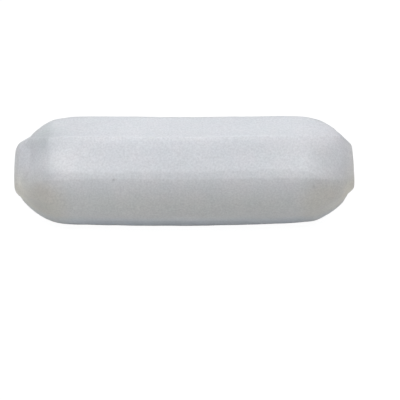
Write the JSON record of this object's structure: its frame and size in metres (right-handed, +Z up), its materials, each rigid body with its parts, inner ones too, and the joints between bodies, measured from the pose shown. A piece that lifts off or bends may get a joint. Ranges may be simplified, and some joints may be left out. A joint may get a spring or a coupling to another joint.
{
  "type": "magnetic stir bar",
  "caption": "Octagonal white PTFE stir bar with tapered ends and a small round nub on each end, moulded round a sealed rod magnet that a magnetic stirrer turns.",
  "frame": {"origin": "middle of the flat that the bar rests on", "axes": "+X along the bar, +Z up from the flat it rests on, +Y across the bar"},
  "size_m": [0.02, 0.006, 0.0061],
  "materials": {
    "jacket": "waxy, slightly grained white PTFE",
    "magnet": "ground cast AlNiCo"
  },
  "bodies": {
    "root": {"jacket": "jacket", "magnet": "magnet"}
  },
  "joints": []
}
